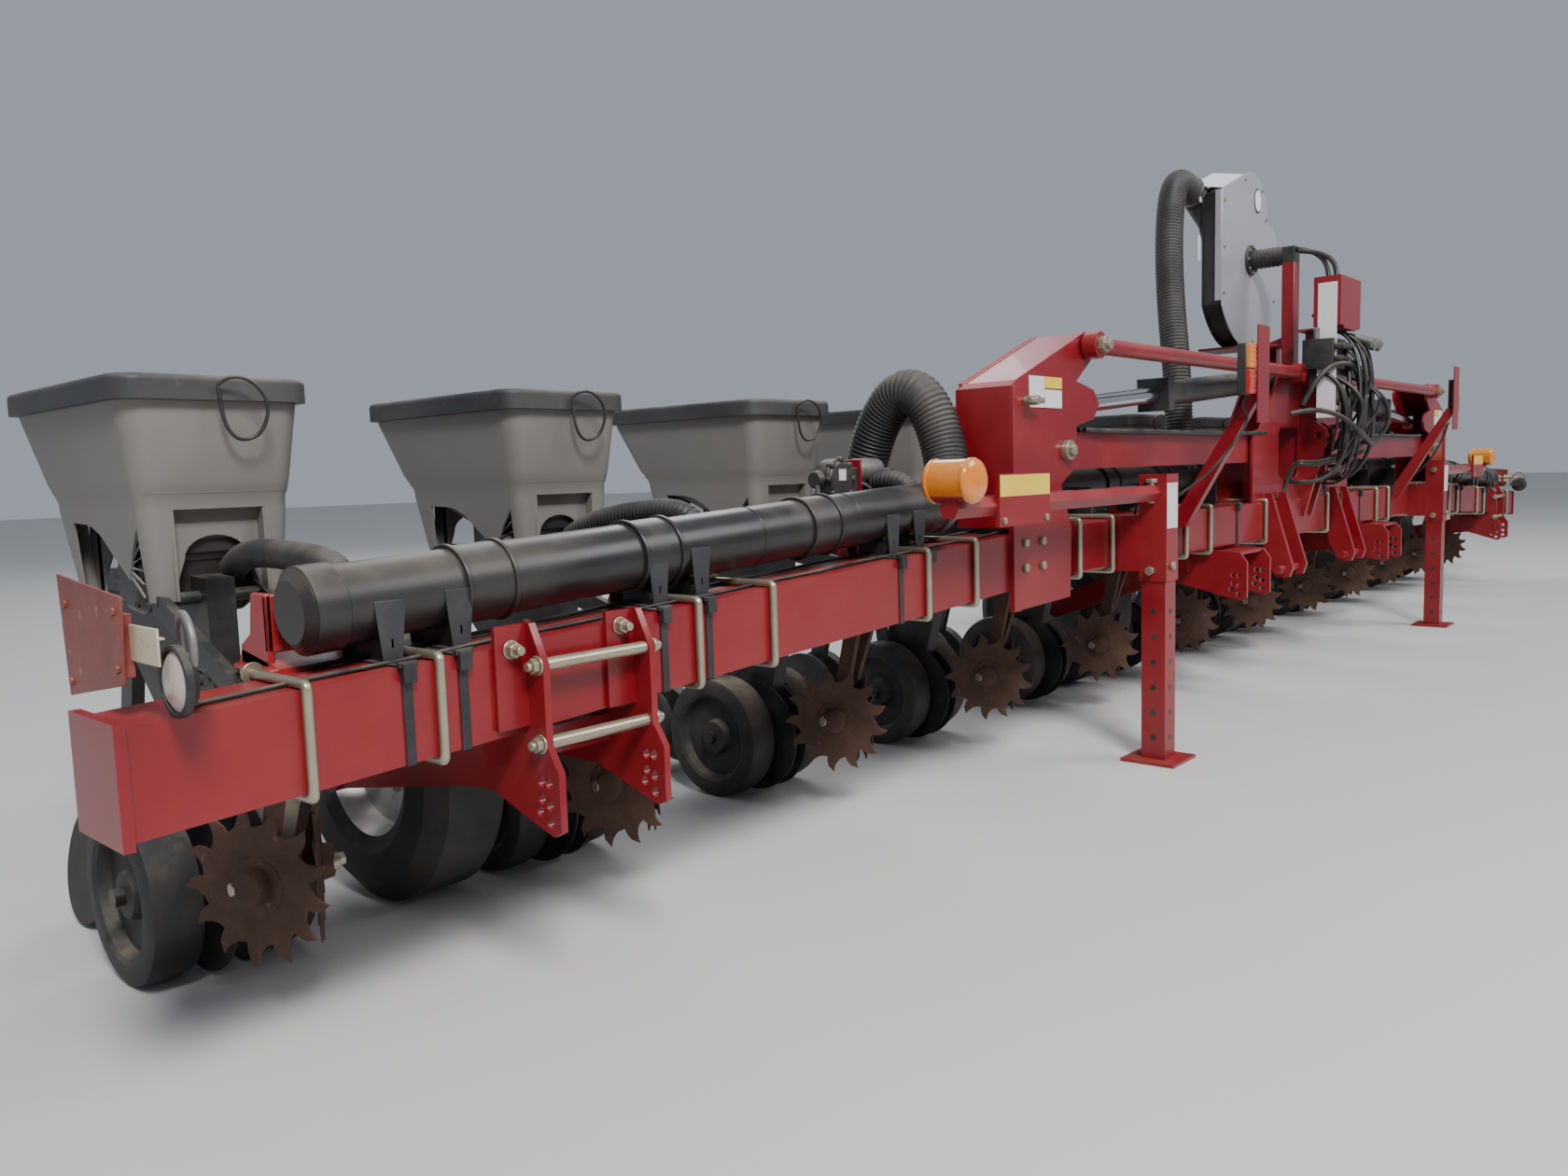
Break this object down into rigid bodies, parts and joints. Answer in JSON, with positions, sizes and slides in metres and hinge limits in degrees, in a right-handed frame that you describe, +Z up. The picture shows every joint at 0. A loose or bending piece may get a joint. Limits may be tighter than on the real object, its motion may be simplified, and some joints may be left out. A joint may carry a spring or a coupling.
{
  "type": "row crop planter",
  "caption": "Mounted stack-fold row crop planter: square toolbar with row units, hoppers, notched row cleaners, vacuum fan, folding wings and parking stands.",
  "frame": {"origin": "on the floor at the middle of the whole machine, half way between its front and its rear", "axes": "+X along the toolbar to the machine's left wing, +Y to the rear, +Z up"},
  "size_m": [10.924, 1.816, 2.54],
  "materials": {
    "red_paint": "glossy, sun-faded",
    "bright_red_cast": "glossy",
    "black_paint": "satin",
    "grey_plastic": "rotomoulded",
    "lid_plastic": "rotomoulded",
    "black_plastic": "satin",
    "hose_rubber": "ribbed",
    "tyre_rubber": "matt",
    "rusty_steel": "rusty",
    "chrome_rod": "polished"
  },
  "bodies": {
    "centre_frame": {"centre_toolbar": "red_paint", "centre_tower": "red_paint", "hitch": "red_paint", "vacuum_fan": "black_plastic", "control_box": "red_paint", "centre_pipes": "black_plastic", "stand_sleeves": "red_paint", "marker_arms": "red_paint", "centre_wheel_brackets": "red_paint", "centre_row_units": "black_paint", "centre_press_wheels": "tyre_rubber", "centre_row_cleaners": "rusty_steel", "centre_hoppers": "grey_plastic", "fan_hoses": "hose_rubber"},
    "right_wing": {"right_wing_frame": "red_paint", "right_wing_pipe": "black_plastic", "right_wheel_bracket": "red_paint", "right_row_units": "black_paint", "right_press_wheels": "tyre_rubber", "right_row_cleaners": "rusty_steel", "right_hoppers": "grey_plastic", "right_wing_hose": "hose_rubber"},
    "right_lift_arm": {"right_lift_arm": "red_paint"},
    "right_tie_link": {"right_tie_link": "red_paint"},
    "right_cylinder_barrel": {"right_cylinder_barrel": "red_paint"},
    "right_cylinder_rod": {"right_cylinder_rod": "chrome_rod"},
    "right_stand_leg": {"right_stand_leg": "red_paint"},
    "left_wing": {"left_wing_frame": "red_paint", "left_wing_pipe": "black_plastic", "left_wheel_bracket": "red_paint", "left_row_units": "black_paint", "left_press_wheels": "tyre_rubber", "left_row_cleaners": "rusty_steel", "left_hoppers": "grey_plastic", "left_wing_hose": "hose_rubber"},
    "left_lift_arm": {"left_lift_arm": "red_paint"},
    "left_tie_link": {"left_tie_link": "red_paint"},
    "left_cylinder_barrel": {"left_cylinder_barrel": "red_paint"},
    "left_cylinder_rod": {"left_cylinder_rod": "chrome_rod"},
    "left_stand_leg": {"left_stand_leg": "red_paint"},
    "right_wing_wheel": {"right_wing_wheel": "tyre_rubber"},
    "right_centre_wheel": {"right_centre_wheel": "tyre_rubber"},
    "left_centre_wheel": {"left_centre_wheel": "tyre_rubber"},
    "left_wing_wheel": {"left_wing_wheel": "tyre_rubber"},
    "right_gauge_wheels": {"right_gauge_wheels": "tyre_rubber"},
    "centre_gauge_wheels": {"centre_gauge_wheels": "tyre_rubber"},
    "left_gauge_wheels": {"left_gauge_wheels": "tyre_rubber"},
    "row_01_hopper_lid": {"row_01_hopper_lid": "lid_plastic"},
    "row_02_hopper_lid": {"row_02_hopper_lid": "lid_plastic"},
    "row_03_hopper_lid": {"row_03_hopper_lid": "lid_plastic"},
    "row_04_hopper_lid": {"row_04_hopper_lid": "lid_plastic"},
    "row_05_hopper_lid": {"row_05_hopper_lid": "lid_plastic"},
    "row_06_hopper_lid": {"row_06_hopper_lid": "lid_plastic"},
    "row_07_hopper_lid": {"row_07_hopper_lid": "lid_plastic"},
    "row_08_hopper_lid": {"row_08_hopper_lid": "lid_plastic"},
    "row_09_hopper_lid": {"row_09_hopper_lid": "lid_plastic"},
    "row_10_hopper_lid": {"row_10_hopper_lid": "lid_plastic"},
    "row_11_hopper_lid": {"row_11_hopper_lid": "lid_plastic"},
    "row_12_hopper_lid": {"row_12_hopper_lid": "lid_plastic"}
  },
  "joints": [
    {"name": "right_fold", "type": "hinge", "parent": "centre_frame", "child": "right_lift_arm", "pos_m": [-0.424, -0.4825, 1.133], "axis": [0, 1, 0], "range_deg": [0, 90]},
    {"name": "right_wing_level", "type": "hinge", "parent": "right_lift_arm", "child": "right_wing", "pos_m": [-2.524, -0.4825, 1.133], "axis": [0, 1, 0], "range_deg": [-90.5, 0.5]},
    {"name": "right_tie_swing", "type": "hinge", "parent": "centre_frame", "child": "right_tie_link", "pos_m": [-0.28, -0.6165, 1.485], "axis": [0, 1, 0], "range_deg": [-0.5, 90.5]},
    {"name": "right_cylinder_swing", "type": "hinge", "parent": "centre_frame", "child": "right_cylinder_barrel", "pos_m": [-0.13, -0.4875, 1.475], "axis": [0, 1, 0], "range_deg": [-0.5, 92.32]},
    {"name": "right_cylinder_stroke", "type": "slide", "parent": "right_cylinder_barrel", "child": "right_cylinder_rod", "axis": [0.9965, 0, 0.0838], "range_m": [-0.002, 0.2922]},
    {"name": "right_stand_height", "type": "slide", "parent": "centre_frame", "child": "right_stand_leg", "axis": [0, 0, 1], "range_m": [0, 0.35]},
    {"name": "left_fold", "type": "hinge", "parent": "centre_frame", "child": "left_lift_arm", "pos_m": [0.424, -0.4825, 1.133], "axis": [0, -1, 0], "range_deg": [0, 90]},
    {"name": "left_wing_level", "type": "hinge", "parent": "left_lift_arm", "child": "left_wing", "pos_m": [2.524, -0.4825, 1.133], "axis": [0, -1, 0], "range_deg": [-90.5, 0.5]},
    {"name": "left_tie_swing", "type": "hinge", "parent": "centre_frame", "child": "left_tie_link", "pos_m": [0.28, -0.6165, 1.485], "axis": [0, -1, 0], "range_deg": [-0.5, 90.5]},
    {"name": "left_cylinder_swing", "type": "hinge", "parent": "centre_frame", "child": "left_cylinder_barrel", "pos_m": [0.13, -0.4875, 1.475], "axis": [0, -1, 0], "range_deg": [-0.5, 92.32]},
    {"name": "left_cylinder_stroke", "type": "slide", "parent": "left_cylinder_barrel", "child": "left_cylinder_rod", "axis": [-0.9965, 0, 0.0838], "range_m": [-0.002, 0.2922]},
    {"name": "left_stand_height", "type": "slide", "parent": "centre_frame", "child": "left_stand_leg", "axis": [0, 0, 1], "range_m": [0, 0.35]},
    {"name": "right_wing_wheel_spin", "type": "hinge", "parent": "right_wing", "child": "right_wing_wheel", "pos_m": [-4.5, 0.3335, 0.37], "axis": [1, 0, 0], "continuous": true},
    {"name": "right_centre_wheel_spin", "type": "hinge", "parent": "centre_frame", "child": "right_centre_wheel", "pos_m": [-0.915, 0.3335, 0.37], "axis": [1, 0, 0], "continuous": true},
    {"name": "left_centre_wheel_spin", "type": "hinge", "parent": "centre_frame", "child": "left_centre_wheel", "pos_m": [0.915, 0.3335, 0.37], "axis": [1, 0, 0], "continuous": true},
    {"name": "left_wing_wheel_spin", "type": "hinge", "parent": "left_wing", "child": "left_wing_wheel", "pos_m": [4.5, 0.3335, 0.37], "axis": [1, 0, 0], "continuous": true},
    {"name": "right_gauge_wheel_spin", "type": "hinge", "parent": "right_wing", "child": "right_gauge_wheels", "pos_m": [-4.1148, 0.2885, 0.203], "axis": [1, 0, 0], "continuous": true},
    {"name": "centre_gauge_wheel_spin", "type": "hinge", "parent": "centre_frame", "child": "centre_gauge_wheels", "pos_m": [0, 0.2885, 0.203], "axis": [1, 0, 0], "continuous": true},
    {"name": "left_gauge_wheel_spin", "type": "hinge", "parent": "left_wing", "child": "left_gauge_wheels", "pos_m": [4.1148, 0.2885, 0.203], "axis": [1, 0, 0], "continuous": true},
    {"name": "row_01_lid_hinge", "type": "hinge", "parent": "right_wing", "child": "row_01_hopper_lid", "pos_m": [-5.0142, 0.7805, 1.285], "axis": [1, 0, 0], "range_deg": [-105, 0]},
    {"name": "row_02_lid_hinge", "type": "hinge", "parent": "right_wing", "child": "row_02_hopper_lid", "pos_m": [-4.0998, 0.7805, 1.285], "axis": [1, 0, 0], "range_deg": [-105, 0]},
    {"name": "row_03_lid_hinge", "type": "hinge", "parent": "right_wing", "child": "row_03_hopper_lid", "pos_m": [-3.1854, 0.7805, 1.285], "axis": [1, 0, 0], "range_deg": [-105, 0]},
    {"name": "row_04_lid_hinge", "type": "hinge", "parent": "centre_frame", "child": "row_04_hopper_lid", "pos_m": [-2.271, 0.7805, 1.285], "axis": [1, 0, 0], "range_deg": [-105, 0]},
    {"name": "row_05_lid_hinge", "type": "hinge", "parent": "centre_frame", "child": "row_05_hopper_lid", "pos_m": [-1.3566, 0.7805, 1.285], "axis": [1, 0, 0], "range_deg": [-105, 0]},
    {"name": "row_06_lid_hinge", "type": "hinge", "parent": "centre_frame", "child": "row_06_hopper_lid", "pos_m": [-0.4422, 0.7805, 1.285], "axis": [1, 0, 0], "range_deg": [-105, 0]},
    {"name": "row_07_lid_hinge", "type": "hinge", "parent": "centre_frame", "child": "row_07_hopper_lid", "pos_m": [0.4722, 0.7805, 1.285], "axis": [1, 0, 0], "range_deg": [-105, 0]},
    {"name": "row_08_lid_hinge", "type": "hinge", "parent": "centre_frame", "child": "row_08_hopper_lid", "pos_m": [1.3866, 0.7805, 1.285], "axis": [1, 0, 0], "range_deg": [-105, 0]},
    {"name": "row_09_lid_hinge", "type": "hinge", "parent": "centre_frame", "child": "row_09_hopper_lid", "pos_m": [2.301, 0.7805, 1.285], "axis": [1, 0, 0], "range_deg": [-105, 0]},
    {"name": "row_10_lid_hinge", "type": "hinge", "parent": "left_wing", "child": "row_10_hopper_lid", "pos_m": [3.2154, 0.7805, 1.285], "axis": [1, 0, 0], "range_deg": [-105, 0]},
    {"name": "row_11_lid_hinge", "type": "hinge", "parent": "left_wing", "child": "row_11_hopper_lid", "pos_m": [4.1298, 0.7805, 1.285], "axis": [1, 0, 0], "range_deg": [-105, 0]},
    {"name": "row_12_lid_hinge", "type": "hinge", "parent": "left_wing", "child": "row_12_hopper_lid", "pos_m": [5.0442, 0.7805, 1.285], "axis": [1, 0, 0], "range_deg": [-105, 0]}
  ],
  "couplings": [
    {"joint": "right_wing_level", "follows": "right_fold", "ratio": -1},
    {"joint": "right_tie_swing", "follows": "right_fold", "ratio": 1},
    {"joint": "right_cylinder_swing", "follows": "right_fold", "ratio": 1.0202},
    {"joint": "right_cylinder_stroke", "follows": "right_fold", "m_per_rad": 0.18472},
    {"joint": "left_wing_level", "follows": "left_fold", "ratio": -1},
    {"joint": "left_tie_swing", "follows": "left_fold", "ratio": 1},
    {"joint": "left_cylinder_swing", "follows": "left_fold", "ratio": 1.0202},
    {"joint": "left_cylinder_stroke", "follows": "left_fold", "m_per_rad": 0.18472}
  ]
}
